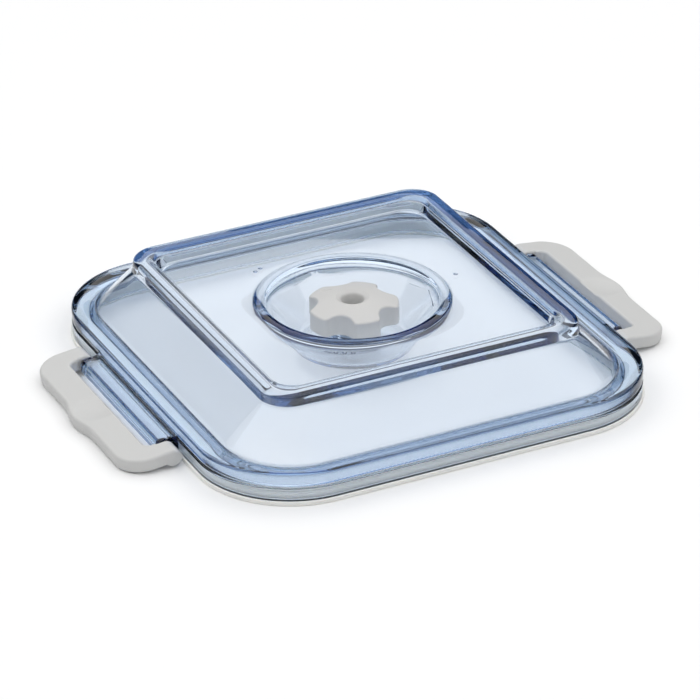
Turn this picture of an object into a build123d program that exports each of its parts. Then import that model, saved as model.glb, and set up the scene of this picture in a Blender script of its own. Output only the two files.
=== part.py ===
from build123d import *
from math import asin, atan2, cos, degrees, hypot, pi, radians, sin
import os

# Lid of a vacuum storage box: a clear shell with a stepped rim, sloped sides, a raised border
# round the flat top and a round well in the middle. A valve knob turns in the well, two latch
# handles hinge on the sides, and a soft gasket lies under the rim. Millimetres, +Z up. The
# origin is on the table below the middle of the lid, with the handles on -X and +X.

# Rim of the shell
skirt_half_x = 110.3
skirt_half_y = 114.8
skirt_corner = 46.4
skirt_height = 5.6
groove_height = 1.8
groove_depth = 1.6
groove_draft = 0.35
bead_height = 5.4
rim_round = 2.6
rim_rise = 0.5
rim_width = 12.3
rim_crest_inset = 5.6
rim_crest_rise = 1.0
rim_valley_inset = 11.6
rim_valley_drop = 0.8
wall = 3.0
round_angles = (0, 30, 60, 90)

# Sloped sides, from the foot on the rim to the head under the border
foot_corner = 37.4
slope_run_x = 17.6
slope_run_y = 19.2
slope_rise = 17.2
head_corner = 14.0

# Raised border round the flat top: a steep outer face, a flat crest and a leaning inner face
border_width = 11.1
border_height = 6.4
border_outer_draft = 0.3
border_inner_draft = 2.1
border_outer_round = 3.2
border_inner_round = 2.8
border_inner_corner = 11.0
border_roof = 2.7
border_outer_wall = 6.3
border_roof_corner = 9.5
border_inner_wall = 2.3
border_hollow_corner = 10.5

# Round well for the valve
lip_outer_radius = 46.4
lip_width = 5.4
lip_height = 1.1
lip_steps = 8
mouth_drop = 1.6
mouth_step = 0.8
well_depth = 21.9
well_floor_radius = 26.0
well_floor_round = 3.0
well_haunch = 5.5
well_haunch_steps = 5
mark_distance = 7.6
mark_radius = 1.1
mark_height = 0.35
mark_pitch = 4.0
mark_angles = (0, 120, 240)

# Soft gasket under the rim
gasket_overhang = 0.7
gasket_flange = 2.2
gasket_width = 9.3
channel_outer_wall = 3.2
channel_width = 4.4
channel_inner_wall = 2.6
channel_depth = 6.0
gasket_gap = 0.15

# Hinges of the latch handles
hinge_offset = 6.7
hinge_height = 5.2
knuckle_radius = 4.2
ledge_half_height = 4.0
ledge_reach = 3.2
ledge_round = 2.6
ledge_gap = 0.4
trunnion_radius = 2.0
trunnion_length = 5.4
trunnion_end_gap = 0.4
running_gap = 0.05
side_gap = 1.2

# Latch handles, measured outward from the hinge in their own tilted plane
latch_reach = 23.3
latch_half_length = 56.0
latch_top = 4.3
latch_thickness = 6.5
latch_corner = 14.0
arm_width = 10.8
bar_width = 14.8
slot_reach = 3.6
slot_step = 0.7
window_corner = 3.5
latch_edge_round = 1.3
tab_half_length = 17.0
tab_bulge = 2.6
tab_ease = 0.57
thumb_radius = 10.5
thumb_depth = 1.1
thumb_inset = 1.5
catch_height = 1.0
catch_width = 2.2
catch_inset = 0.6
catch_half_length = 30.0

# Valve housing on the floor of the well
housing_radius = 13.0
housing_height = 9.8
neck_radius = 9.0
neck_height = 2.7
stop_width_deg = 20.0
stop_reach = 2.0
stop_gap = 0.3
chamber_radius = 10.0
chamber_depth = 8.0
key_depth = 2.3
key_width = 2.4
key_length = 4.4

# Valve knob
knob_gap = 0.7
knob_side = 9.1
knob_crown = 3.5
knob_radius = 21.8
lobe_count = 5
scallop_radius = 7.3
scallop_floor_radius = 16.4
pointer_angle = 120.0
lobe_round = 2.5
knob_edge_round = 0.7
recess_wall = 3.6
port_radius = 5.25
port_mouth_radius = 7.35
port_mouth_depth = 1.6
port_depth = 7.0
turn_limit_deg = 120.0
stop_slack_deg = 0.5
pointer_depth = 0.4
pointer_tip = 18.6
pointer_length = 5.2
pointer_half_width = 3.4

# Valve stem with its seals and clip
stem_radius = 6.0
stem_bore_radius = 2.4
stem_socket = 3.0
stem_shoulder = 0.2
screw_radius = 4.0
screw_length = 7.0
seal_groove_width = 1.8
seal_groove_depth = 1.3
seal_slack = 0.1
seal_offsets = (2.0, 5.4)
washer_thickness = 0.6
washer_inset = 0.2
washer_gap = 0.3
clip_thickness = 0.8
clip_radius = 7.2
clip_groove_depth = 0.8
clip_mouth = 5.4
clip_gap = 0.25

# Lifting plug in the valve chamber, with its ring and check valve
plug_gap = 0.3
plug_drop = 2.6
plug_height = 9.4
plug_floor = 2.0
plug_lift = 1.0
plug_cup_radius = 5.6
plug_thread_length = 4.8
plug_ring_offset = 5.0
plug_ring_width = 1.7
plug_ring_depth = 1.4
vent_radius = 0.8
vent_circle = 3.2
vent_count = 4
umbrella_radius = 4.8
umbrella_thickness = 0.8
umbrella_edge = 0.3
umbrella_crown_radius = 1.9
umbrella_stem_radius = 1.25
bulb_radius = 1.9
bulb_tip_radius = 0.95
bulb_height = 1.6
bulb_band = 0.5
key_gap = 0.2

# How far a cutting shape runs past the face that it cuts
past = 1.0

# Heights worked out from the sizes above
skirt_bottom = gasket_flange
groove_bottom = skirt_bottom + skirt_height
groove_top = groove_bottom + groove_height
rim_edge = groove_top + bead_height
foot_height = rim_edge + rim_rise
panel_top = foot_height + slope_rise
panel_bottom = panel_top - wall
well_floor_top = panel_top - well_depth
well_floor_bottom = well_floor_top - wall
housing_top = well_floor_top + housing_height
neck_top = housing_top + neck_height
chamber_top = well_floor_bottom + chamber_depth
knob_bottom = housing_top + knob_gap
knob_ceiling = neck_top + washer_thickness
knob_edge_height = knob_bottom + knob_side
knob_top = knob_edge_height + knob_crown
port_bottom = knob_top - port_depth
screw_bottom = chamber_top - screw_length
clip_bottom = chamber_top - clip_gap - clip_thickness
plug_top = chamber_top - plug_drop
plug_bottom = plug_top - plug_height
plug_cup_top = plug_top - plug_thread_length
plug_ring_height = plug_bottom + plug_ring_offset
seal_heights = [chamber_top + offset for offset in seal_offsets]

# Widths worked out from the sizes above
foot_half_x = skirt_half_x - rim_width
foot_half_y = skirt_half_y - rim_width
head_half_x = foot_half_x - slope_run_x
head_half_y = foot_half_y - slope_run_y
lip_inner_radius = lip_outer_radius - lip_width
knob_recess_radius = scallop_floor_radius - recess_wall
plug_radius = chamber_radius - plug_gap
plug_ring_section = plug_ring_depth / 2
seal_section = (seal_groove_depth - seal_slack) / 2
mark_circle = lip_outer_radius + mark_distance
hinge_x = skirt_half_x + hinge_offset
slot_half_length = latch_half_length - arm_width
ledge_half_length = slot_half_length - side_gap
window_half_length = slot_half_length - slot_step
window_end = latch_reach - bar_width
latch_bottom = latch_top - latch_thickness
knob_dome_radius = (knob_radius ** 2 + knob_crown ** 2) / (2 * knob_crown)

# The handles droop until the round edge of the thumb bulge meets the table
droop_run = latch_reach + tab_bulge - latch_edge_round
droop_rise = latch_bottom + latch_edge_round
droop_fall = hinge_height - latch_edge_round
latch_droop = degrees(asin(droop_fall / hypot(droop_run, droop_rise)) + atan2(droop_rise, droop_run))


def outline(half_x, half_y, corner, height):
    """A rectangle with round corners, flat at one height."""
    return Pos(0, 0, height) * RectangleRounded(2 * half_x, 2 * half_y, corner)


def tower(levels):
    """A solid through a list of outlines, straight from each to the next."""
    return loft([outline(*level) for level in levels], ruled=True)


def ring_between(outer, inner, bottom, top):
    """An upright band between two outlines, each given as half sizes and corner."""
    band = tower([(*outer, bottom), (*outer, top)])
    return band - tower([(*inner, bottom - past), (*inner, top + past)])


def skirt_inset(inset):
    """The skirt's outline moved inward by one distance."""
    return skirt_half_x - inset, skirt_half_y - inset, skirt_corner - inset


def turned(points):
    """A solid of revolution about Z from radius and height pairs."""
    profile = make_face(Polyline([(radius, 0, height) for radius, height in points], close=True))
    return revolve(profile, axis=Axis.Z)


def tube(outer, inner, bottom, top):
    """A round tube on the Z axis."""
    return turned([(inner, bottom), (outer, bottom), (outer, top), (inner, top)])


def rod(radius, bottom, top):
    """A round bar on the Z axis."""
    return Pos(0, 0, bottom) * Cylinder(radius, top - bottom, align=(Align.CENTER, Align.CENTER, Align.MIN))


def wedge(inner, outer, bottom, top, width_deg, middle_deg):
    """A part of a tube that covers one angle."""
    corners = [(inner, 0, bottom), (outer, 0, bottom), (outer, 0, top), (inner, 0, top)]
    profile = make_face(Polyline(corners, close=True))
    return Rot(0, 0, middle_deg - width_deg / 2) * revolve(profile, axis=Axis.Z, revolution_arc=width_deg)


def border_outline(inset, height):
    """An outline that lies one distance in from the border's outer foot."""
    corner = head_corner + (border_inner_corner - head_corner) * inset / border_width
    return head_half_x - inset, head_half_y - inset, corner, height


def border_levels():
    """Outlines over the raised border, from its outer foot across the crest to its inner foot."""
    crest = panel_top + border_height
    levels = [border_outline(0, panel_top)]
    for angle in round_angles:
        inset = border_outer_draft + border_outer_round * (1 - cos(radians(angle)))
        levels.append(border_outline(inset, crest - border_outer_round * (1 - sin(radians(angle)))))
    for angle in reversed(round_angles):
        inset = border_width - border_inner_draft - border_inner_round * (1 - cos(radians(angle)))
        levels.append(border_outline(inset, crest - border_inner_round * (1 - sin(radians(angle)))))
    levels.append(border_outline(border_width, panel_top))
    return levels


def rim_levels():
    """Outlines from the bottom of the skirt, past the groove, over the rim's low crest and
    through its valley to the foot of the slope."""
    levels = [
        (*skirt_inset(0), skirt_bottom),
        (*skirt_inset(0), groove_bottom),
        (*skirt_inset(groove_depth), groove_bottom + groove_draft),
        (*skirt_inset(groove_depth), groove_top - groove_draft),
        (*skirt_inset(0), groove_top),
    ]
    for angle in round_angles:
        rise = rim_round * sin(radians(angle))
        inset = rim_round * (1 - cos(radians(angle)))
        levels.append((*skirt_inset(inset), rim_edge - rim_round + rise))
    levels.append((*skirt_inset(rim_crest_inset), rim_edge + rim_crest_rise))
    levels.append((*skirt_inset(rim_valley_inset), rim_edge - rim_valley_drop))
    levels.append((foot_half_x, foot_half_y, foot_corner, foot_height))
    return levels


def hollow_levels():
    """Outlines of the space under the shell: up one wall inside the slope, steeper into the
    border, and down the border's inner wall to the underside of the flat top."""
    throat_inset = channel_outer_wall + channel_width + channel_inner_wall
    steepness = slope_rise / slope_run_x
    drop = wall * hypot(slope_run_x, slope_rise) / slope_run_x
    throat_height = foot_height - drop - (rim_width - throat_inset) * steepness
    head_height = panel_top - drop + wall * steepness
    roof = panel_top + border_height - border_roof
    inset = border_width - border_inner_wall
    inner = (head_half_x - inset, head_half_y - inset, border_hollow_corner)
    return [
        (*skirt_inset(throat_inset), -past),
        (*skirt_inset(throat_inset), throat_height),
        (head_half_x - wall, head_half_y - wall, head_corner - wall, head_height),
        (head_half_x - border_outer_wall, head_half_y - border_outer_wall, border_roof_corner, roof),
        (*inner, roof),
        (*inner, panel_bottom),
    ]


def well_profiles():
    """Radius and height pairs of the well's upper face, and of the face under it.

    Under the lip the wall swells into the flat top in a parabola.
    """
    lip = []
    for step in range(lip_steps + 1):
        angle = pi * step / lip_steps
        across = lip_width / 2 * (1 + cos(angle))
        lip.append((lip_inner_radius + across, panel_top + lip_height * sin(angle)))
    mouth = (lip_inner_radius - mouth_step, panel_top - mouth_drop)
    floor_edge = (well_floor_radius + well_floor_round / 2, well_floor_top + well_floor_round / 2)
    floor_start = (well_floor_radius - well_floor_round / 2, well_floor_top)
    spread = (mouth[0] - floor_edge[0]) / (mouth[1] - floor_edge[1])
    shift = wall * hypot(1, spread)
    under_edge = floor_edge[0] + shift - (floor_edge[1] - well_floor_bottom) * spread
    under_mouth = mouth[0] + shift + (panel_bottom - mouth[1]) * spread
    under = [(under_edge, well_floor_bottom)]
    for step in range(well_haunch_steps + 1):
        share = step / well_haunch_steps
        down = well_haunch * (1 - share) ** 2 / hypot(1, spread)
        under.append((under_mouth - spread * down + well_haunch * share ** 2, panel_bottom - down))
    return lip + [mouth, floor_edge, floor_start], under


def well_bowl():
    """The wall and floor of the well, with its lip."""
    upper, under = well_profiles()
    return turned([(0, well_floor_bottom), *under, *upper, (0, well_floor_top)])


def well_opening():
    """What is cut from the flat top before the well goes in."""
    radius = lip_outer_radius - past
    return rod(radius, panel_bottom - past, panel_top + past)


def valve_housing():
    """The round housing that stands on the floor of the well, before it is bored."""
    body = rod(housing_radius, well_floor_bottom, housing_top) + rod(neck_radius, housing_top, neck_top)
    stop = wedge(neck_radius - past, neck_radius + stop_reach, housing_top, neck_top,
                 stop_width_deg, pointer_angle + 180)
    return body + stop


def key_block(inner_radius, outer_radius, width, bottom, top):
    """A pair of square blocks across from each other, or the slots that take them."""
    depth = outer_radius - inner_radius
    block = Box(depth, width, top - bottom, align=(Align.MIN, Align.CENTER, Align.MIN))
    return [Rot(0, 0, turn) * Pos(inner_radius, 0, bottom) * block for turn in (0, 180)]


def valve_chamber():
    """The space inside the housing: the plug's cylinder with its two keys, and the stem's bore."""
    space = rod(chamber_radius, well_floor_bottom - past, chamber_top)
    for key in key_block(chamber_radius - key_depth, chamber_radius + past, key_width,
                         chamber_top - key_length, chamber_top + past):
        space -= key
    return space + rod(stem_radius + running_gap, chamber_top - past, neck_top + past)


def hinge_ledge(side):
    """The clear ledge beside the skirt that carries one handle, with a trunnion at each end."""
    root_x = skirt_half_x - (groove_depth + channel_outer_wall) / 2
    step_x = skirt_half_x + gasket_overhang + ledge_gap
    end_x = hinge_x + ledge_reach
    bottom = hinge_height - ledge_half_height
    top = hinge_height + ledge_half_height
    step_height = max(bottom, skirt_bottom + ledge_gap)
    front = -ledge_half_length
    section = Polyline([(root_x, front, step_height), (step_x, front, step_height), (step_x, front, bottom),
                        (end_x, front, bottom), (end_x, front, top), (root_x, front, top)], close=True)
    ledge = extrude(make_face(section), amount=2 * ledge_half_length, dir=(0, 1, 0))
    far_edges = ledge.edges().filter_by(Axis.Y).group_by(Axis.X)[-1]
    ledge = fillet(far_edges, ledge_round)
    trunnions = Cylinder(trunnion_radius, 2 * (ledge_half_length + trunnion_length))
    ledge += Pos(hinge_x, 0, hinge_height) * Rot(90, 0, 0) * trunnions
    return ledge if side > 0 else mirror(ledge, about=Plane.YZ)


def position_marks():
    """One, two and three small raised dots on the panel, at the knob's three positions."""
    dots = []
    for count, angle in enumerate(mark_angles, start=1):
        for index in range(count):
            across = (index - (count - 1) / 2) * mark_pitch
            dot = rod(mark_radius, panel_top - mark_height, panel_top + mark_height)
            dots.append(Rot(0, 0, angle) * Pos(mark_circle, across, 0) * dot)
    return dots


def lid_shell():
    """The clear moulding: rim, slope, border, top, well, housing and hinge ledges."""
    shell = tower(rim_levels() + border_levels()) - tower(hollow_levels())
    channel_outer = skirt_inset(channel_outer_wall)
    channel_inner = skirt_inset(channel_outer_wall + channel_width)
    shell -= ring_between(channel_outer, channel_inner, skirt_bottom - past, skirt_bottom + channel_depth)
    shell -= well_opening()
    shell += well_bowl()
    shell += valve_housing()
    for side in (-1, 1):
        shell += hinge_ledge(side)
    for dot in position_marks():
        shell += dot
    return shell - valve_chamber()


def rim_gasket():
    """A flat flange under the skirt with a tongue up into the shell's channel."""
    outer = skirt_inset(-gasket_overhang)
    inner = skirt_inset(gasket_width - gasket_overhang)
    flange = ring_between(outer, inner, 0, gasket_flange)
    tongue_outer = skirt_inset(channel_outer_wall + gasket_gap)
    tongue_inner = skirt_inset(channel_outer_wall + channel_width - gasket_gap)
    tongue_top = skirt_bottom + channel_depth - gasket_gap
    return flange + ring_between(tongue_outer, tongue_inner, gasket_flange / 2, tongue_top)


def latch_outline():
    """The handle seen from above, from the hinge line outward, with its thumb bulge."""
    half = latch_half_length
    reach = latch_reach
    turn = reach - latch_corner
    crest = reach + tab_bulge
    shoulder = tab_half_length
    ease = tab_half_length * tab_ease
    corner_x = turn + latch_corner * sin(pi / 4)
    corner_y = half - latch_corner * (1 - sin(pi / 4))
    edges = [
        Line((0, -half), (turn, -half)),
        ThreePointArc((turn, -half), (corner_x, -corner_y), (reach, latch_corner - half)),
        Line((reach, latch_corner - half), (reach, -shoulder)),
        Bezier((reach, -shoulder), (reach, -ease), (crest, -ease), (crest, 0)),
        Bezier((crest, 0), (crest, ease), (reach, ease), (reach, shoulder)),
        Line((reach, shoulder), (reach, half - latch_corner)),
        ThreePointArc((reach, half - latch_corner), (corner_x, corner_y), (turn, half)),
        Line((turn, half), (0, half)),
        Line((0, half), (0, -half)),
    ]
    return make_face(Wire(edges))


def latch():
    """One handle in its own plane: hinge axis on Y, reaching out along +X, before it droops."""
    plate = extrude(Pos(0, 0, latch_bottom) * latch_outline(), amount=latch_thickness)
    faces = plate.faces().sort_by(Axis.Z)
    hinge_line = plate.edges().group_by(Axis.X)[0]
    rounded = [edge for edge in faces[-1].edges() + faces[0].edges() if edge not in hinge_line]
    plate = fillet(rounded, latch_edge_round)
    knuckle = Rot(90, 0, 0) * Cylinder(knuckle_radius, arm_width)
    for side in (-1, 1):
        plate += Pos(0, side * (slot_half_length + arm_width / 2), 0) * knuckle
    tall = 2 * (latch_thickness + knuckle_radius)
    inward = (Align.MAX, Align.CENTER, Align.CENTER)
    window = Box(window_end - slot_reach + past, 2 * window_half_length, tall, align=inward)
    window = fillet(window.edges().filter_by(Axis.Z).group_by(Axis.X)[-1], window_corner)
    slot = Box(slot_reach + knuckle_radius + past, 2 * slot_half_length, tall, align=inward)
    plate = plate - Pos(window_end, 0, 0) * window - Pos(slot_reach, 0, 0) * slot
    outward = (Align.MIN, Align.CENTER, Align.CENTER)
    catch = Box(catch_width, 2 * catch_half_length, 2 * catch_height, align=outward)
    plate += Pos(window_end + catch_inset, 0, latch_bottom) * catch
    bore_half_length = ledge_half_length + trunnion_length + trunnion_end_gap
    plate -= Rot(90, 0, 0) * Cylinder(trunnion_radius + running_gap, 2 * bore_half_length)
    dish_radius = (thumb_radius ** 2 + thumb_depth ** 2) / (2 * thumb_depth)
    thumb_x = latch_reach + tab_bulge - thumb_radius - thumb_inset
    return plate - Pos(thumb_x, 0, latch_top - thumb_depth + dish_radius) * Sphere(dish_radius)


def placed_latch(side):
    """The handle hung on its ledge, its thumb bulge resting on the table."""
    drooped = Pos(hinge_x, 0, hinge_height) * Rot(0, latch_droop, 0) * latch()
    return drooped if side > 0 else mirror(drooped, about=Plane.YZ)


def knob_dome(drop):
    """The ball whose top is the knob's domed top, or one that lies lower by a drop."""
    return Pos(0, 0, knob_top - knob_dome_radius) * Sphere(knob_dome_radius - drop)


def pointer_mark():
    """A shallow triangle on one lobe, its tip outward, that points at the marks."""
    base = pointer_tip - pointer_length
    corners = [(base, -pointer_half_width), (pointer_tip, 0), (base, pointer_half_width)]
    prism = extrude(Pos(0, 0, knob_bottom) * make_face(Polyline(corners, close=True)), amount=knob_top)
    return Rot(0, 0, pointer_angle) * prism - knob_dome(pointer_depth)


def valve_knob():
    """The knob: a domed disc with five lobes, a pump port on top and a recess with a stop."""
    disc = Circle(knob_radius)
    scallop_distance = scallop_floor_radius + scallop_radius
    for index in range(lobe_count):
        angle = pointer_angle + 360 / lobe_count * (index + 0.5)
        disc -= Rot(0, 0, angle) * Pos(scallop_distance, 0) * Circle(scallop_radius)
    disc = fillet(disc.vertices(), lobe_round)
    body = extrude(Pos(0, 0, knob_bottom) * disc, amount=knob_top - knob_bottom) & knob_dome(0)
    body = fillet(body.faces().sort_by(Axis.Z)[-1].edges(), knob_edge_round)
    body -= rod(knob_recess_radius, knob_bottom - past, knob_ceiling)
    body -= rod(stem_radius, knob_ceiling - past, knob_ceiling + stem_socket)
    body -= rod(port_radius, port_bottom, knob_top + past)
    mouth_foot = knob_top - port_mouth_depth
    mouth = [(0, mouth_foot), (port_radius, mouth_foot), (port_mouth_radius, knob_top),
             (port_mouth_radius, knob_top + past), (0, knob_top + past)]
    body -= turned(mouth)
    body -= rod(stem_bore_radius, knob_ceiling, port_bottom + past)
    stop_turn = 360 - 2 * turn_limit_deg - stop_width_deg - 2 * stop_slack_deg
    stop = wedge(neck_radius + stop_gap, knob_recess_radius + past, knob_bottom, knob_ceiling,
                 stop_turn, pointer_angle)
    return body + stop - pointer_mark()


def valve_stem():
    """A hollow stepped stem, fixed in the knob, with ring grooves and a screw below."""
    top = knob_ceiling + stem_socket
    shoulder = chamber_top + stem_shoulder
    stem = rod(stem_radius, shoulder, top) + rod(screw_radius, screw_bottom, shoulder)
    for height in seal_heights:
        half = seal_groove_width / 2
        stem -= tube(stem_radius + past, stem_radius - seal_groove_depth, height - half, height + half)
    stem -= tube(screw_radius + past, screw_radius - clip_groove_depth, clip_bottom,
                 clip_bottom + clip_thickness)
    return stem - rod(stem_bore_radius, screw_bottom - past, top + past)


def soft_ring(groove_radius, section, height):
    """A round seal ring that lies on the floor of its groove."""
    return Pos(0, 0, height) * Torus(groove_radius + section, section)


def retaining_clip():
    """The flat clip under the roof of the chamber that keeps the stem from lifting."""
    ring = tube(clip_radius, screw_radius - clip_groove_depth, clip_bottom, clip_bottom + clip_thickness)
    mouth = Box(clip_mouth, clip_radius + past, clip_radius, align=(Align.CENTER, Align.MIN, Align.CENTER))
    return ring - Pos(0, 0, clip_bottom) * mouth


def thrust_washer():
    """The slippery washer on the neck that the knob turns on."""
    return tube(neck_radius - washer_inset, stem_radius + washer_gap, neck_top, knob_ceiling - running_gap)


def lifting_plug():
    """The plug that screws up and down on the stem and opens or closes the chamber."""
    floor_top = plug_bottom + plug_floor
    body = rod(plug_radius, plug_bottom, plug_top)
    body -= rod(screw_radius + running_gap, plug_cup_top - past, plug_top + past)
    body -= rod(plug_cup_radius, floor_top, plug_cup_top)
    half = plug_ring_width / 2
    body -= tube(plug_radius + past, plug_radius - plug_ring_depth, plug_ring_height - half,
                 plug_ring_height + half)
    slot_bottom = chamber_top - key_length - plug_lift - key_gap
    for slot in key_block(chamber_radius - key_depth - key_gap, plug_radius + past, key_width + 2 * key_gap,
                          slot_bottom, plug_top + past):
        body -= slot
    body -= rod(umbrella_stem_radius + running_gap, plug_bottom - past, floor_top + past)
    for index in range(vent_count):
        vent = Pos(vent_circle, 0, 0) * rod(vent_radius, plug_bottom - past, floor_top + past)
        body -= Rot(0, 0, 360 / vent_count * (index + 0.5)) * vent
    return body


def check_valve():
    """The soft umbrella over the plug's vents, held by a bulb below the plug's floor."""
    seat = plug_bottom + plug_floor + running_gap
    bulb_top = plug_bottom - running_gap
    bulb_bottom = bulb_top - bulb_height
    return turned([
        (0, bulb_bottom), (bulb_tip_radius, bulb_bottom), (bulb_radius, bulb_top - bulb_band),
        (bulb_radius, bulb_top), (umbrella_stem_radius, bulb_top), (umbrella_stem_radius, seat),
        (umbrella_radius, seat), (umbrella_radius, seat + umbrella_edge),
        (umbrella_crown_radius, seat + umbrella_thickness), (0, seat + umbrella_thickness)])


def stem_seal(index):
    """One of the two seal rings on the stem."""
    return soft_ring(stem_radius - seal_groove_depth, seal_section, seal_heights[index])


pieces = {
    "lid_shell": lid_shell(),
    "rim_gasket": rim_gasket(),
    "latch_left": placed_latch(-1),
    "latch_right": placed_latch(1),
    "valve_knob": valve_knob(),
    "valve_stem": valve_stem(),
    "stem_seal_lower": stem_seal(0),
    "stem_seal_upper": stem_seal(1),
    "thrust_washer": thrust_washer(),
    "retaining_clip": retaining_clip(),
    "lifting_plug": lifting_plug(),
    "plug_seal": soft_ring(plug_radius - plug_ring_depth, plug_ring_section, plug_ring_height),
    "check_valve": check_valve(),
}

os.makedirs("parts", exist_ok=True)
for name, piece in pieces.items():
    export_step(piece, f"parts/{name}.step")
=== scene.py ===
import bpy
import numpy as np
from mathutils import Matrix, Vector


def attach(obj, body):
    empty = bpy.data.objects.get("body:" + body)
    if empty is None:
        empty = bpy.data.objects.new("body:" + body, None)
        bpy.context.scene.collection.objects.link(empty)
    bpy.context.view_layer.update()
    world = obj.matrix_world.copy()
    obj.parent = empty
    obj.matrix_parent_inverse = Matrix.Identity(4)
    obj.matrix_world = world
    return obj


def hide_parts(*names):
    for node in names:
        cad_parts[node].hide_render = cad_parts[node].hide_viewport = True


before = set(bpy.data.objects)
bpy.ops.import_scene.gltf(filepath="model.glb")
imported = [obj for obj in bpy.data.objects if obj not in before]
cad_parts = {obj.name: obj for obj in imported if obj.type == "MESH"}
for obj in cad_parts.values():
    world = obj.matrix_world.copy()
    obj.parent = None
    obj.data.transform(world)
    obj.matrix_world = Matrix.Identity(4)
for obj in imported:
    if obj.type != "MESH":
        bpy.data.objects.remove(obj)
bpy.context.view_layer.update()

# A clear square lid of a vacuum food container. A knob turns in the round well, two grey
# handles hinge on the sides and a white gasket lies under the rim. Shapes are worked out in
# millimetres in the CAD model's frame and turned into metres when a mesh is made.

MM = 0.001

# Rim of the shell
skirt_half = (110.3, 114.8)
skirt_corner = 46.4
skirt_bottom = 2.2
skirt_foot_top = 2.6
bead_top = 12.0
groove_bottom = 7.8
groove_top = 9.6
groove_depth = 1.6
rim_edge = 15.0
rim_round = 3.2
rim_crest = (5.6, 16.0)
rim_valley = (11.6, 14.2)

# Sloped sides, raised border and flat top
foot_half = (98.0, 102.5)
foot_corner = 37.4
foot_height = 15.5
head_half = (80.4, 83.3)
head_corner = 14.0
panel_top = 32.7
border_crest = 39.1
border_outer_draft = 0.3
border_inner_top = 9.0
border_width = 11.1
border_inner_corner = 11.0
border_hollow = (71.6, 74.5, 10.5)
inner_head = (77.4, 80.3, 11.0, 31.4)
border_roof = (74.1, 77.0, 9.5)
border_roof_height = 36.4
panel_bottom = 29.7

# Round well
lip_outer = 46.4
lip_inner = 41.0
lip_height = 1.1
mouth = (40.2, 31.1)
well_floor = (26.44, 10.8)
well_round = 2.6
housing_radius = 13.0
housing_top = 20.6
neck_radius = 9.0
neck_top = 23.3
bore_radius = 6.05
chamber_radius = 10.0
chamber_top = 15.8
floor_bottom = 7.8
well_under = ((28.08, 7.8), (42.88, 29.7))

# Underside: channel for the gasket and the inner throat
channel_outer = 3.2
channel_inner = 7.6
channel_top = 8.2
throat_inset = 10.2
throat_top = 9.25

# Hinge ledges and trunnions
hinge_x = 117.0
hinge_height = 5.2
ledge_end = 44.0
ledge_foot = (111.4, 112.2)
ledge_reach = 3.2
ledge_half_height = 4.0
ledge_round = 2.6
trunnion_radius = 2.0
trunnion_end = 49.4
trunnion_gap = 0.02

# Gasket
gasket_overhang = 0.7
gasket_inner = 8.6
gasket_flange = 2.2
tongue_gap = 0.15

# Latch handles, in their own plane before they droop
latch_droop = 7.03
latch_reach = 23.3
latch_half_length = 56.0
latch_top = 4.3
latch_bottom = -2.2
latch_corner = 14.0
latch_round = 1.3
slot_half_length = 45.2
window_half_length = 44.5
slot_reach = 3.6
slot_step = 0.35
window_end = 8.5
window_corner = 3.5
knuckle_radius = 4.2
bulge_half_length = 17.0
bulge_reach = 2.6
thumb_radius = 10.5
thumb_depth = 1.1
thumb_x = 13.9
thumb_skin = 0.6
catch_x = (9.1, 11.3)
catch_half_length = 30.0
catch_bottom = -3.2
catch_squareness = 0.55

# Knob
knob_bottom = 21.3
knob_ceiling = 23.9
knob_top = 33.9
knob_dome_drop = 3.5
knob_radius = 21.8
knob_edge_round = 0.8
knob_recess_radius = 12.8
knob_foot_radius = 14.6
knob_side_start = 0.5
lobe_count = 5
lobe_round = 2.5
scallop_radius = 7.3
scallop_floor_radius = 16.4
port_radius = 5.25
port_mouth_radius = 7.35
port_mouth_depth = 1.6
port_mouth_margin = 0.25
port_bottom = 26.9
socket_radius = 6.0
pointer_angle = 120.0
pointer_tip = 18.6
pointer_base = 13.4
pointer_half_width = 3.4
pointer_depth = 0.45
pointer_slope = 0.25

# Position marks on the flat top
mark_circle = 54.0
mark_radius = 1.1
mark_height = 0.35
mark_pitch = 4.0
mark_sink = 0.1

# Easing of corners: the longest share of a side that an ease takes, and how far out its
# holding point stands, as a multiple of the ease
ease_limit = 0.42
holding_place = 1.15

# A pole is closed by a tiny ring, with a second one beside it
pole_radius = 0.01
pole_ring = 0.15

# The set, in metres
table_half = 8.0
surround_radius = 3.4
surround_height = 1.7
surround_navy = (0.012, 0.02, 0.04)
sky_strength = 1.35


def mesh_piece(name, parts, material):
    """One object from several grids of points, each (rows, columns, 3) and closed both ways.

    A face joins each point to the next along its row and its column.
    """
    points = []
    faces = []
    start = 0
    for grid in parts:
        rows, columns = grid.shape[:2]
        index = np.arange(rows * columns).reshape(rows, columns)
        right = np.roll(index, -1, axis=1)
        below = np.roll(index, -1, axis=0)
        corner = np.roll(right, -1, axis=0)
        faces.append(np.stack([index, right, corner, below], axis=-1).reshape(-1, 4) + start)
        points.append(grid.reshape(-1, 3))
        start += rows * columns
    mesh = bpy.data.meshes.new(name)
    mesh.from_pydata((np.concatenate(points) * MM).tolist(), [], np.concatenate(faces).tolist())
    mesh.polygons.foreach_set("use_smooth", np.ones(len(mesh.polygons), bool))
    mesh.materials.append(material)
    mesh.validate()
    mesh.update()
    piece = bpy.data.objects.new(name, mesh)
    bpy.context.scene.collection.objects.link(piece)
    return piece


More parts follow.
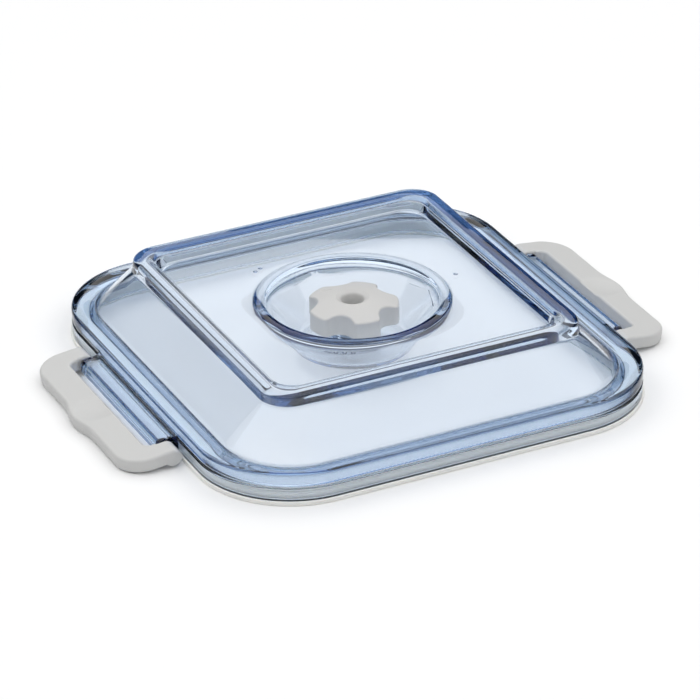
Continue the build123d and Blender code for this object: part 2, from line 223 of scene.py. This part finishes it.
def softened(corners, reach, steps=5):
    """A path through corner points with each corner eased by a parabola.

    The parabola starts and ends at reach from the corner, measured by the first and last
    column, and a holding point just outside each end keeps the straight stretch flat to the eye.
    """
    corners = np.asarray(corners, float)
    reach = np.asarray(reach, float)
    path = []
    befores = np.roll(corners, 1, 0)
    afters = np.roll(corners, -1, 0)
    for here, before, after, ease in zip(corners, befores, afters, reach):
        if ease == 0:
            path.append(here[None])
            continue
        length_in = np.linalg.norm(before[[0, -1]] - here[[0, -1]])
        length_out = np.linalg.norm(after[[0, -1]] - here[[0, -1]])
        into = (before - here) * min(ease / length_in, ease_limit)
        out = (after - here) * min(ease / length_out, ease_limit)
        t = np.linspace(0, 1, steps)[:, None]
        curve = here + (1 - t) ** 2 * into + t ** 2 * out
        hold_in = here + holding_place * into
        hold_out = here + holding_place * out
        path.append(np.concatenate([[hold_in], curve, [hold_out]]))
    return np.concatenate(path)


# Along a ring: points on half a straight side, as shares of it, crowded where the ledges end,
# and the points on a quarter corner
side_y = np.array([0, 8, 16, 24, 32, 38, 42, 43.75, 44, 46, 50, 56, 62, 66, 68])
side_share = side_y / (skirt_half[1] - skirt_corner)
corner_steps = 34


def rings(levels):
    """Closed loops for rows of (half x, half y, corner radius, height).

    A quadrant runs along half a side, round a quarter circle and along half a side. A full
    circle, where the corner radius is the half size, is spaced evenly instead.
    """
    levels = np.asarray(levels, float)
    quarter = np.linspace(0, 90, corner_steps)[1:-1]
    count = len(side_share)
    share = np.concatenate([side_share, [1], np.ones(len(quarter)), [1], np.ones(count - 1)])
    turn = np.concatenate([np.zeros(count + 1), quarter, np.full(count, 90.0)])
    first = np.concatenate([np.ones(count + 1 + len(quarter)), [1], side_share[:0:-1]])
    even = np.arange(len(share)) * 90 / len(share)
    across = []
    along = []
    angle = []
    even_angle = []
    for quadrant in range(4):
        a, b = first, share
        for _ in range(quadrant):
            a, b = -b, a
        across.append(a)
        along.append(b)
        angle.append(turn + 90 * quadrant)
        even_angle.append(even + 90 * quadrant)
    across, along = np.concatenate(across), np.concatenate(along)
    angle, even_angle = np.radians(np.concatenate(angle)), np.radians(np.concatenate(even_angle))
    half_x, half_y, corner, height = (levels[:, k, None] for k in range(4))
    round_one = np.abs(half_x - corner) + np.abs(half_y - corner) < 1e-6
    angle = np.where(round_one, even_angle, angle)
    x = (half_x - corner) * across + corner * np.cos(angle)
    y = (half_y - corner) * along + corner * np.sin(angle)
    return np.stack([x, y, np.broadcast_to(height, x.shape)], axis=-1)


def skirt(inset, height):
    """The skirt's outline moved inward, at a height."""
    return (skirt_half[0] - inset, skirt_half[1] - inset, skirt_corner - inset, height)


def circle(radius, height):
    """A full circle as a level."""
    return (radius, radius, radius, height)


def border_level(inset, height):
    """A level that lies one distance in from the border's outer foot.

    Its corner radius goes evenly from the outer foot's to the inner foot's.
    """
    corner = head_corner + (border_inner_corner - head_corner) * inset / border_width
    return (head_half[0] - inset, head_half[1] - inset, corner, height)


def ledge_profile(count):
    """X and height along the skirt where a hinge ledge stands out, evenly spaced."""
    low = hinge_height - ledge_half_height
    high = hinge_height + ledge_half_height
    end = hinge_x + ledge_reach
    corners = [(skirt_half[0], skirt_foot_top), (ledge_foot[0], skirt_foot_top),
               (ledge_foot[1], low), (end, low), (end, high),
               (skirt_half[0] - 0.2, high), (skirt_half[0], bead_top)]
    path = softened(corners, [0, 0.3, 0.6, ledge_round, ledge_round, 0.5, 0], 9)
    length = np.concatenate([[0], np.cumsum(np.linalg.norm(np.diff(path, axis=0), axis=1))])
    even = np.linspace(0, length[-1], count)
    return np.interp(even, length, path[:, 0]), np.interp(even, length, path[:, 1])


def shell_grid():
    """The whole clear moulding as one closed grid of rings.

    The rings go up the outside of the rim, over the slope and the border, across the flat
    top, down the well and through the valve housing, and back along the underside.
    """
    skirt_rows = [skirt(0, z) for z in np.linspace(skirt_foot_top, groove_bottom - 0.45, 12)]
    bead_rows = [skirt(0, z) for z in np.linspace(groove_top + 0.5, bead_top, 7)]
    groove = softened([skirt(0, groove_bottom), skirt(groove_depth, groove_bottom + 0.35),
                       skirt(groove_depth, groove_top - 0.35), skirt(0, groove_top)],
                      [0, 0.3, 0.3, 0], 4)
    arch = np.linspace(0, np.pi, 13)
    lip_radius = (lip_outer + lip_inner) / 2 + (lip_outer - lip_inner) / 2 * np.cos(arch)
    lip_level = panel_top + lip_height * np.sin(arch)
    lip = [(circle(radius, height), 0) for radius, height in zip(lip_radius, lip_level)]
    # Each row below is a level and the reach of its easing
    top_rows = [
        (skirt(0, bead_top), 0), (skirt(0, rim_edge), rim_round),
        (skirt(*rim_crest), 3.5), (skirt(*rim_valley), 0.8),
        ((*foot_half, foot_corner, foot_height), 0.5),
        (border_level(0, panel_top), 0.9),
        (border_level(border_outer_draft, border_crest), 3.2),
        (border_level(border_inner_top, border_crest), 2.8),
        (border_level(border_width, panel_top), 0.9),
        (lip[0][0], 0.5), *lip[2:-2], (circle(lip_inner, panel_top), 0.3),
    ]
    well_rows = [
        (circle(*mouth), 1.2), (circle(*well_floor), well_round),
        (circle(housing_radius, well_floor[1]), 0.8), (circle(housing_radius, housing_top), 0.6),
        (circle(neck_radius, housing_top), 0.4), (circle(neck_radius, neck_top), 0.4),
        (circle(bore_radius, neck_top), 0.3), (circle(bore_radius, chamber_top), 0.3),
        (circle(chamber_radius, chamber_top), 0.5), (circle(chamber_radius, floor_bottom), 0.4),
        (circle(*well_under[0]), 2.0), (circle(*well_under[1]), 5.5),
    ]
    under_rows = [
        ((*border_hollow, panel_bottom), 0.8), ((*border_hollow, border_roof_height), 0.6),
        ((*border_roof, border_roof_height), 0.6), (inner_head, 1.5),
        (skirt(throat_inset, throat_top), 1.6), (skirt(throat_inset, skirt_bottom), 0.5),
        (skirt(channel_inner, skirt_bottom), 0.4), (skirt(channel_inner, channel_top), 0.6),
        (skirt(channel_outer, channel_top), 0.6), (skirt(channel_outer, skirt_bottom), 0.4),
        (skirt(0, skirt_bottom), 0.4), (skirt(0, skirt_foot_top), 0),
    ]
    corners, reaches = zip(*(top_rows + well_rows + under_rows))
    edge_rows = np.concatenate([skirt_rows, groove, bead_rows[:-1]])
    levels = np.concatenate([edge_rows, softened(corners, reaches, 7)[:-1]])
    grid = rings(levels)
    count = len(edge_rows) + 1
    ledge_x, ledge_z = ledge_profile(count)
    for row in range(count):
        on_side = np.abs(grid[row, :, 1]) < ledge_end - 0.1
        grid[row, on_side, 0] = np.sign(grid[row, on_side, 0]) * ledge_x[row]
        grid[row, on_side, 2] = ledge_z[row]
    return grid


def spun(profile, steps=64):
    """A closed grid from a closed profile of radius and height pairs turned about Z."""
    profile = np.asarray(profile, float)
    turn = np.arange(steps) * 2 * np.pi / steps
    x = profile[:, 0, None] * np.cos(turn)
    y = profile[:, 0, None] * np.sin(turn)
    return np.stack([x, y, np.broadcast_to(profile[:, 1, None], x.shape)], axis=-1)


def rod_profile(radius, length, ease):
    """Radius and height pairs of a rod with eased ends, standing on zero."""
    corners = [(pole_radius, 0), (pole_ring, 0), (radius, 0),
               (radius, length), (pole_ring, length), (pole_radius, length)]
    return softened(corners, [0, 0, ease, ease, 0, 0], 5)


def along_y(grid, x, y, z):
    """A grid that stands on Z, laid down along Y and moved to its place."""
    return np.stack([grid[..., 0] + x, grid[..., 2] + y, -grid[..., 1] + z], axis=-1)


def position_marks():
    """One, two and three low domes on the flat top, at the knob's three positions."""
    t = np.linspace(0, 1, 7)
    rise = panel_top + mark_height * np.sin(t * np.pi / 2)
    dome = np.stack([mark_radius * (1 - t), rise], axis=-1)
    foot = panel_top - mark_sink
    profile = np.concatenate([[(pole_radius, foot), (mark_radius, foot)], dome[:-1],
                              [(pole_radius, panel_top + mark_height)]])
    dome_grid = spun(profile, 24)
    grids = []
    for count, angle in ((1, 0), (2, 120), (3, 240)):
        turn = np.radians(angle)
        for index in range(count):
            across = (index - (count - 1) / 2) * mark_pitch
            x = mark_circle * np.cos(turn) - across * np.sin(turn)
            y = mark_circle * np.sin(turn) + across * np.cos(turn)
            grids.append(dome_grid + np.array([x, y, 0]))
    return grids


def gasket_grid():
    """The gasket's section carried round the rim: a flange with a round edge and a tongue."""
    tongue_top = channel_top - tongue_gap
    tongue_outer = channel_outer + tongue_gap
    tongue_inner = channel_inner - tongue_gap
    corners, reaches = zip(
        (skirt(-gasket_overhang, 0), 0.7), (skirt(-gasket_overhang, gasket_flange), 0.7),
        (skirt(tongue_outer, gasket_flange), 0.3), (skirt(tongue_outer, tongue_top), 0.5),
        (skirt(tongue_inner, tongue_top), 0.5), (skirt(tongue_inner, gasket_flange), 0.3),
        (skirt(gasket_inner, gasket_flange), 0.5), (skirt(gasket_inner, 0), 0.6),
    )
    return rings(softened(corners, reaches, 5))


def resampled(path, count):
    """Evenly spaced points along a path."""
    length = np.concatenate([[0], np.cumsum(np.linalg.norm(np.diff(path, axis=0), axis=1))])
    even = np.linspace(0, length[-1], count)
    return np.stack([np.interp(even, length, path[:, k]) for k in range(path.shape[1])], axis=-1)


def quarter_arc(centre, radius, start, end, count):
    """Points on an arc, angles in degrees."""
    turn = np.radians(np.linspace(start, end, count))
    return np.stack([centre[0] + radius * np.cos(turn), centre[1] + radius * np.sin(turn)], axis=-1)


def handle_edges():
    """Matching points along the outer edge and the window edge of half a handle.

    They run from the back of the knuckle along an arm, round the corner and along the bar to
    the middle. The outer edge carries the thumb bulge, a raised cosine.
    """
    half = latch_half_length
    turn_x = latch_reach - latch_corner
    window_x = window_end - window_corner
    window_y = window_half_length - window_corner
    back = -knuckle_radius * np.cos(np.linspace(0, np.pi / 2, 13))[:-1, None]
    outer_arm = resampled(np.array([(0, half), (turn_x, half)]), 14)
    slot_side = resampled(np.array([(0, slot_half_length), (slot_reach, slot_half_length)]), 7)
    window_start = (slot_reach + slot_step, window_half_length)
    window_side = resampled(np.array([window_start, (window_x, window_half_length)]), 7)
    outer_turn = quarter_arc((turn_x, half - latch_corner), latch_corner, 90, 0, 26)[1:]
    inner_turn = quarter_arc((window_x, window_y), window_corner, 90, 0, 26)[1:]
    outer_y = np.linspace(half - latch_corner, 0, 61)[1:]
    inner_y = np.linspace(window_y, 0, 61)[1:]
    share = np.clip(1 - np.abs(outer_y) / bulge_half_length, 0, 1)
    bulge = bulge_reach * share ** 2 * (3 - 2 * share)
    outer_bar = np.stack([latch_reach + bulge, outer_y], axis=-1)
    inner_bar = np.stack([np.full_like(inner_y, window_end), inner_y], axis=-1)
    outer_back = np.concatenate([back, np.full_like(back, half)], axis=1)
    inner_back = np.concatenate([back, np.full_like(back, slot_half_length)], axis=1)
    return (np.concatenate([outer_back, outer_arm, outer_turn, outer_bar]),
            np.concatenate([inner_back, slot_side, window_side, inner_turn, inner_bar]))


def handle_grid():
    """The handle as a section carried along its U shape, from one knuckle to the other.

    The section is a flat bar with round edges between the outer edge and the window edge.
    Behind and below the hinge line its top and bottom follow the knuckle's circle. The thumb
    dish is a shallow bowl sunk in the top face.
    """
    outer, inner = handle_edges()
    mirror = np.array([1, -1])
    outer = np.concatenate([outer, (outer * mirror)[-2::-1]])
    inner = np.concatenate([inner, (inner * mirror)[-2::-1]])
    r = latch_round
    t = np.radians(np.linspace(0, 90, 6))
    flat = np.linspace(0, 1, 30)[1:-1]
    zero = np.zeros_like(flat)
    near, far = r * (1 - np.cos(t)), r * np.sin(t)
    # For each point of the section: share of the way outward, distance from that edge, height
    share = np.concatenate([np.zeros(6), flat, np.ones(12), flat[::-1], np.zeros(6)])
    inset = np.concatenate([near, zero, -near[::-1], -near, zero, near[::-1]])
    height = np.concatenate([
        latch_top - r + far, np.full_like(flat, latch_top), latch_top - r + far[::-1],
        latch_bottom + r - far, np.full_like(flat, latch_bottom), latch_bottom + r - far[::-1]])
    span = outer - inner
    width = np.linalg.norm(span, axis=1, keepdims=True)
    way = span / width
    place = r + share * (width - 2 * r)
    place = np.where(share == 0, inset, place)
    place = np.where(share == 1, width + inset, place)
    flat_xy = inner[:, None, :] + way[:, None, :] * place[..., None]
    x = flat_xy[..., 0]
    circle_height = np.sqrt(np.clip(knuckle_radius ** 2 - x ** 2, 0, None))
    top = np.where(x < 0, circle_height * latch_top / knuckle_radius, latch_top)
    bottom = np.where(x < 0, -circle_height, np.minimum(latch_bottom, -circle_height))
    level = (height - latch_bottom) / (latch_top - latch_bottom)
    z = bottom + level * (top - bottom)
    distance = np.hypot(x - thumb_x, flat_xy[..., 1]) / thumb_radius
    dish = thumb_depth * np.clip(1 - distance ** 2, 0, 1)
    z -= np.where(z > latch_top - thumb_skin, dish, 0)
    return np.concatenate([flat_xy, z[..., None]], axis=-1)


def closed_ends(grid):
    """A tube-like grid with its first and last rows drawn in to their centres."""
    first = grid[:1].mean(axis=1, keepdims=True)
    last = grid[-1:].mean(axis=1, keepdims=True)
    near = [first + (grid[:1] - first) * share for share in (0.001, 0.9)]
    far = [last + (grid[-1:] - last) * share for share in (0.9, 0.001)]
    return np.concatenate(near + [grid] + far)


def catch_grid():
    """The round-edged catch ridge under the handle's bar.

    Its section is a rounded oblong, cosine and sine each raised to a power under one, and it
    is carried along Y and shrinks to nothing at the ends by a high power of the distance.
    """
    height = latch_bottom - catch_bottom
    centre = np.array([(catch_x[0] + catch_x[1]) / 2, 0, latch_bottom])
    turn = np.linspace(0, 2 * np.pi, 24, endpoint=False)
    cos_part = np.sign(np.cos(turn)) * np.abs(np.cos(turn)) ** catch_squareness
    sin_part = np.sign(np.sin(turn)) * np.abs(np.sin(turn)) ** catch_squareness
    y = catch_half_length * np.sin(np.linspace(-np.pi / 2, np.pi / 2, 41))
    swell = np.clip(1 - (np.abs(y) / catch_half_length) ** 16, 0, 1) ** 0.5 + 0.001
    x = (catch_x[1] - catch_x[0]) / 2 * swell[:, None] * cos_part
    z = height * swell[:, None] * sin_part
    return centre + np.stack([x, np.broadcast_to(y[:, None], x.shape), z], axis=-1)


def hung(grid, side):
    """A handle's points drooped about the hinge and moved to one side of the lid."""
    droop = np.radians(latch_droop)
    x = grid[..., 0] * np.cos(droop) + grid[..., 2] * np.sin(droop) + hinge_x
    z = -grid[..., 0] * np.sin(droop) + grid[..., 2] * np.cos(droop) + hinge_height
    placed = np.stack([x, grid[..., 1], z], axis=-1)
    if side < 0:
        placed = placed * np.array([-1, 1, 1])
        placed = placed[:, ::-1]
    return placed


def handle_parts(side):
    """The U-shaped bar with its knuckles, and the catch under it."""
    parts = (closed_ends(handle_grid()[:, ::-1]), catch_grid()[:, ::-1])
    return [hung(part, side) for part in parts]


def lobed_outline(lobe_steps=26, scallop_steps=22, ease_steps=10):
    """The knob's outline and its outward directions, all from arcs.

    Each fifth is a scallop arc, an easing arc, a lobe arc and an easing arc. The easing
    circle touches the lobe circle from inside and the scallop circle from outside.
    """
    distance = scallop_floor_radius + scallop_radius
    ease_distance = knob_radius - lobe_round
    touch = scallop_radius + lobe_round
    ease_angle = np.arccos((ease_distance ** 2 + distance ** 2 - touch ** 2)
                           / (2 * ease_distance * distance))
    ease_centre = ease_distance * np.array([np.cos(ease_angle), np.sin(ease_angle)])
    scallop_centre = np.array([distance, 0.0])
    toward = np.arctan2(*(ease_centre - scallop_centre)[::-1])
    scallop_turn = np.linspace(np.pi, toward, scallop_steps)
    scallop_way = np.stack([np.cos(scallop_turn), np.sin(scallop_turn)], -1)
    scallop = scallop_centre + scallop_radius * scallop_way
    scallop_out = -scallop_way
    ease_turn = np.linspace(toward - np.pi, ease_angle, ease_steps)[1:]
    ease_out = np.stack([np.cos(ease_turn), np.sin(ease_turn)], -1)
    ease = ease_centre + lobe_round * ease_out
    lobe_turn = np.linspace(ease_angle, np.pi / lobe_count, lobe_steps // 2)[1:]
    lobe_out = np.stack([np.cos(lobe_turn), np.sin(lobe_turn)], -1)
    half = np.concatenate([scallop, ease, knob_radius * lobe_out])
    half_out = np.concatenate([scallop_out, ease_out, lobe_out])
    mirror = np.array([1, -1])
    points = []
    directions = []
    for index in range(lobe_count):
        turn = np.radians(pointer_angle) + 2 * np.pi / lobe_count * (index + 0.5)
        spin = np.array([[np.cos(turn), np.sin(turn)], [-np.sin(turn), np.cos(turn)]])
        points.append(np.concatenate([(half * mirror)[::-1][1:-1], half]) @ spin)
        directions.append(np.concatenate([(half_out * mirror)[::-1][1:-1], half_out]) @ spin)
    return np.concatenate(points), np.concatenate(directions)


def dome_height(radius):
    """Height of the knob's domed top at a distance from its axis."""
    ball = (knob_radius ** 2 + knob_dome_drop ** 2) / (2 * knob_dome_drop)
    return knob_top - ball + np.sqrt(ball ** 2 - radius ** 2)


def knob_grid():
    """The knob as one closed grid: up its side, over the dome, into the port and underneath.

    Rows go from the lobed outline to the port's circle in even shares. The pointer is a
    triangle sunk in the dome with sides that slope over a quarter of a millimetre.
    """
    outline, out = lobed_outline()
    polar = np.arctan2(outline[:, 1], outline[:, 0])
    ray = np.stack([np.cos(polar), np.sin(polar)], -1)

    def level(inset, height):
        flat = outline - out * inset
        return np.concatenate([flat, np.full((len(flat), 1), height)], axis=1)

    def ring_level(radius, height):
        return np.concatenate([ray * radius, np.full((len(ray), 1), height)], axis=1)

    side_bottom = knob_bottom + knob_side_start
    rows = [level(0.9, knob_bottom), level(0.35, knob_bottom + 0.05),
            level(0.1, knob_bottom + 0.2), level(0, side_bottom)]
    top_edge = dome_height(np.linalg.norm(outline, axis=1))
    for share in np.linspace(0, 1, 14)[1:]:
        row = level(0, knob_bottom)
        side_height = top_edge - knob_edge_round - knob_bottom - knob_side_start
        row[:, 2] = side_bottom + side_height * share
        rows.append(row)
    for turn in np.radians([15, 30, 45, 60, 75, 90]):
        row = level(knob_edge_round * (1 - np.cos(turn)), 0)
        sunk = knob_edge_round * (1 - np.sin(turn))
        row[:, 2] = dome_height(np.linalg.norm(row[:, :2], axis=1)) - sunk
        rows.append(row)
    inner_edge = outline - out * knob_edge_round
    for share in np.linspace(0, 1, 62)[1:]:
        flat = inner_edge * (1 - share) + ray * (port_mouth_radius + port_mouth_margin) * share
        dome = dome_height(np.linalg.norm(flat, axis=1))
        rows.append(np.concatenate([flat, dome[:, None]], axis=1))
    mouth_top = dome_height(port_mouth_radius)
    outside = port_mouth_radius + 0.8
    bore_path = softened([(outside, dome_height(outside)), (port_mouth_radius, mouth_top),
                          (port_radius, knob_top - port_mouth_depth), (port_radius, port_bottom)],
                         [0, 0.5, 1.2, 0], 7)
    rows += [ring_level(radius, height) for radius, height in bore_path[2:]]
    inside = softened([(port_radius, port_bottom), (socket_radius, port_bottom),
                       (socket_radius, knob_ceiling), (knob_recess_radius, knob_ceiling),
                       (knob_recess_radius, knob_bottom), (knob_foot_radius, knob_bottom)],
                      [0, 0.1, 0.1, 0.3, 0.3, 0], 4)
    rows += [ring_level(radius, height) for radius, height in inside[1:-1]]
    grid = np.array(rows)
    turn = np.radians(pointer_angle)
    ahead = grid[..., 0] * np.cos(turn) + grid[..., 1] * np.sin(turn)
    aside = np.abs(-grid[..., 0] * np.sin(turn) + grid[..., 1] * np.cos(turn))
    slant = np.hypot(pointer_tip - pointer_base, pointer_half_width)
    from_side = ((pointer_tip - ahead) * pointer_half_width
                 - aside * (pointer_tip - pointer_base)) / slant
    inward = np.minimum(from_side, ahead - pointer_base)
    depth = np.clip(inward / pointer_slope, 0, 1) * pointer_depth
    grid[..., 2] -= np.where(grid[..., 2] > knob_top - 5, depth, 0)
    return grid


def finish_nodes(name, colour, roughness):
    """A new material with its shader, output and object coordinates."""
    material = bpy.data.materials.new(name)
    material.use_nodes = True
    nodes = material.node_tree.nodes
    shader = nodes["Principled BSDF"]
    shader.inputs["Base Color"].default_value = (*colour, 1)
    shader.inputs["Roughness"].default_value = roughness
    place = nodes.new("ShaderNodeTexCoord")
    return material, nodes, material.node_tree.links, shader, place


def add_bump(nodes, links, shader, place, scale, detail, strength, distance):
    """Fine grain or waviness on the surface from noise in object space."""
    noise = nodes.new("ShaderNodeTexNoise")
    noise.inputs["Scale"].default_value = scale
    noise.inputs["Detail"].default_value = detail
    links.new(place.outputs["Object"], noise.inputs["Vector"])
    bump = nodes.new("ShaderNodeBump")
    bump.inputs["Strength"].default_value = strength
    bump.inputs["Distance"].default_value = distance
    links.new(noise.outputs["Fac"], bump.inputs["Height"])
    links.new(bump.outputs["Normal"], shader.inputs["Normal"])
    return noise


def clear_plastic():
    """Pale blue clear plastic: full transmission with absorption that deepens along a path.

    A slow noise varies the polish very slightly.
    """
    material, nodes, links, shader, place = finish_nodes("clear_plastic", (1.0, 1.0, 1.0), 0.0)
    shader.inputs["Transmission Weight"].default_value = 1.0
    shader.inputs["IOR"].default_value = 1.5
    depth = nodes.new("ShaderNodeVolumeAbsorption")
    depth.inputs["Color"].default_value = (0.16, 0.42, 0.7, 1)
    depth.inputs["Density"].default_value = 52.0
    links.new(depth.outputs["Volume"], nodes["Material Output"].inputs["Volume"])
    cloud = nodes.new("ShaderNodeTexNoise")
    cloud.inputs["Scale"].default_value = 40
    links.new(place.outputs["Object"], cloud.inputs["Vector"])
    polish = nodes.new("ShaderNodeMapRange")
    polish.inputs["To Min"].default_value = 0.0
    polish.inputs["To Max"].default_value = 0.02
    links.new(cloud.outputs["Fac"], polish.inputs["Value"])
    links.new(polish.outputs["Result"], shader.inputs["Roughness"])
    return material


def matt_plastic(name, colour, grain):
    """Moulded plastic with a fine grain and slightly uneven gloss."""
    material, nodes, links, shader, place = finish_nodes(name, colour, 0.5)
    noise = add_bump(nodes, links, shader, place, scale=grain, detail=3, strength=0.12,
                     distance=0.0002)
    cloud = nodes.new("ShaderNodeTexNoise")
    cloud.inputs["Scale"].default_value = 90
    links.new(place.outputs["Object"], cloud.inputs["Vector"])
    gloss = nodes.new("ShaderNodeMapRange")
    gloss.inputs["To Min"].default_value = 0.42
    gloss.inputs["To Max"].default_value = 0.58
    links.new(cloud.outputs["Fac"], gloss.inputs["Value"])
    links.new(gloss.outputs["Result"], shader.inputs["Roughness"])
    tone = nodes.new("ShaderNodeMix")
    tone.data_type = "RGBA"
    tone.inputs["A"].default_value = (*[c * 0.97 for c in colour], 1)
    tone.inputs["B"].default_value = (*[min(c * 1.03, 1) for c in colour], 1)
    links.new(noise.outputs["Fac"], tone.inputs["Factor"])
    links.new(tone.outputs["Result"], shader.inputs["Base Color"])
    return material


def soft_rubber(name, colour):
    """Soft silicone or rubber with a dull, slightly cloudy surface."""
    material = matt_plastic(name, colour, 1500)
    shader = material.node_tree.nodes["Principled BSDF"]
    shader.inputs["Subsurface Weight"].default_value = 0.15
    shader.inputs["Subsurface Radius"].default_value = (0.004, 0.003, 0.002)
    return material


def spring_steel():
    """Bright steel with fine drawn lines."""
    material, nodes, links, shader, place = finish_nodes("spring_steel", (0.62, 0.62, 0.62), 0.3)
    shader.inputs["Metallic"].default_value = 1.0
    add_bump(nodes, links, shader, place, scale=900, detail=2, strength=0.1, distance=0.0001)
    return material


clear = clear_plastic()
gasket_white = soft_rubber("white_gasket", (0.85, 0.845, 0.81))
handle_grey = matt_plastic("handle_grey", (0.575, 0.575, 0.565), 2600)
knob_grey = matt_plastic("knob_grey", (0.585, 0.58, 0.57), 2600)
valve_white = matt_plastic("valve_white", (0.78, 0.79, 0.80), 2000)
washer_white = matt_plastic("washer_white", (0.86, 0.86, 0.84), 2000)
black_rubber = soft_rubber("black_rubber", (0.03, 0.032, 0.036))
pale_rubber = soft_rubber("pale_rubber", (0.72, 0.71, 0.67))
steel = spring_steel()

# The clear shell with its trunnions
trunnion = spun(rod_profile(trunnion_radius, trunnion_end - ledge_end - trunnion_gap, 0.4), 32)
trunnions = []
for side in (-1, 1):
    trunnions.append(along_y(trunnion, side * hinge_x, ledge_end + trunnion_gap, hinge_height))
    trunnions.append(along_y(trunnion, side * hinge_x, -trunnion_end, hinge_height))
shell = mesh_piece("clear_lid", [shell_grid(), *trunnions], clear)
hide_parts("lid_shell")
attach(shell, "lid")

marks = mesh_piece("position_marks", position_marks(), clear)
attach(marks, "lid")

gasket = mesh_piece("soft_gasket", [gasket_grid()], gasket_white)
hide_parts("rim_gasket")
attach(gasket, "lid")

for side, node, body in ((-1, "latch_left", "left_latch"), (1, "latch_right", "right_latch")):
    handle = mesh_piece(node + "_handle", handle_parts(side), handle_grey)
    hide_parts(node)
    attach(handle, body)

knob = mesh_piece("lobed_knob", [knob_grid()], knob_grey)
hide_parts("valve_knob")
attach(knob, "knob")

# The small pieces inside the valve keep their CAD shape
inner_finish = {
    "valve_stem": valve_white, "stem_seal_lower": black_rubber, "stem_seal_upper": black_rubber,
    "thrust_washer": washer_white, "retaining_clip": steel, "lifting_plug": valve_white,
    "plug_seal": black_rubber, "check_valve": pale_rubber,
}
for node, material in inner_finish.items():
    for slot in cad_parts[node].material_slots:
        slot.material = material


def plane(name, corners, material):
    """A flat sheet of the set through four corners, in metres."""
    mesh = bpy.data.meshes.new(name)
    mesh.from_pydata([Vector(c) for c in corners], [], [(0, 1, 2, 3)])
    mesh.materials.append(material)
    sheet = bpy.data.objects.new(name, mesh)
    bpy.context.scene.collection.objects.link(sheet)


def table_white():
    """Matt white table top that still takes a soft shadow."""
    material, _, _, shader, _ = finish_nodes("table_white", (0.93, 0.93, 0.93), 0.9)
    shader.inputs["Specular IOR Level"].default_value = 0.0
    return material


def glow(name, colour, strength):
    """A plain shining surface."""
    material = bpy.data.materials.new(name)
    material.use_nodes = True
    nodes = material.node_tree.nodes
    nodes.remove(nodes["Principled BSDF"])
    light = nodes.new("ShaderNodeEmission")
    light.inputs["Color"].default_value = (*colour, 1)
    light.inputs["Strength"].default_value = strength
    surface = nodes["Material Output"].inputs["Surface"]
    material.node_tree.links.new(light.outputs["Emission"], surface)
    return material


def dark_surround(radius, height, colour, sides=48):
    """A low dark ring round the set, which the camera looks past and the glass mirrors."""
    turn = np.arange(sides) * 2 * np.pi / sides
    low = np.stack([radius * np.cos(turn), radius * np.sin(turn), np.zeros(sides)], axis=-1)
    points = np.concatenate([low, low + np.array([0, 0, height])])
    index = np.arange(sides)
    after = np.roll(index, -1)
    faces = np.stack([after, index, index + sides, after + sides], axis=-1)
    mesh = bpy.data.meshes.new("dark_surround")
    mesh.from_pydata(points.tolist(), [], faces.tolist())
    mesh.materials.append(glow("surround_navy", colour, 1.0))
    ring = bpy.data.objects.new("dark_surround", mesh)
    ring.visible_camera = False
    bpy.context.scene.collection.objects.link(ring)


plane("table", [(-table_half, -table_half, 0), (table_half, -table_half, 0),
                (table_half, table_half, 0), (-table_half, table_half, 0)], table_white())
dark_surround(surround_radius, surround_height, surround_navy)

world = bpy.data.worlds.new("studio")
world.use_nodes = True
sky = world.node_tree.nodes["Background"]
sky.inputs["Color"].default_value = (1, 1, 1, 1)
sky.inputs["Strength"].default_value = sky_strength
bpy.context.scene.world = world
bpy.context.scene.view_settings.view_transform = "Standard"

# Long light paths through the clear walls stay clear
paths = bpy.context.scene.cycles
paths.max_bounces = 32
paths.glossy_bounces = 24
paths.transmission_bounces = 32
paths.diffuse_bounces = 12
paths.blur_glossy = 0.0

# Camera at the photograph's viewing angle
camera_place = Vector((-0.7760, -1.6076, 0.9572))
camera_back = Vector((-0.3829, -0.7950, 0.4705))
camera_up = Vector((0.2169, 0.4177, 0.8823))
lens = bpy.data.cameras.new("camera")
lens.lens = 221.7
lens.sensor_width = 36
lens.clip_end = 50
camera = bpy.data.objects.new("camera", lens)
camera_right = camera_up.cross(camera_back).normalized()
turn = Matrix((camera_right, camera_back.cross(camera_right), camera_back)).transposed()
camera.matrix_world = Matrix.Translation(camera_place) @ turn.to_4x4()
bpy.context.scene.collection.objects.link(camera)
bpy.context.scene.camera = camera
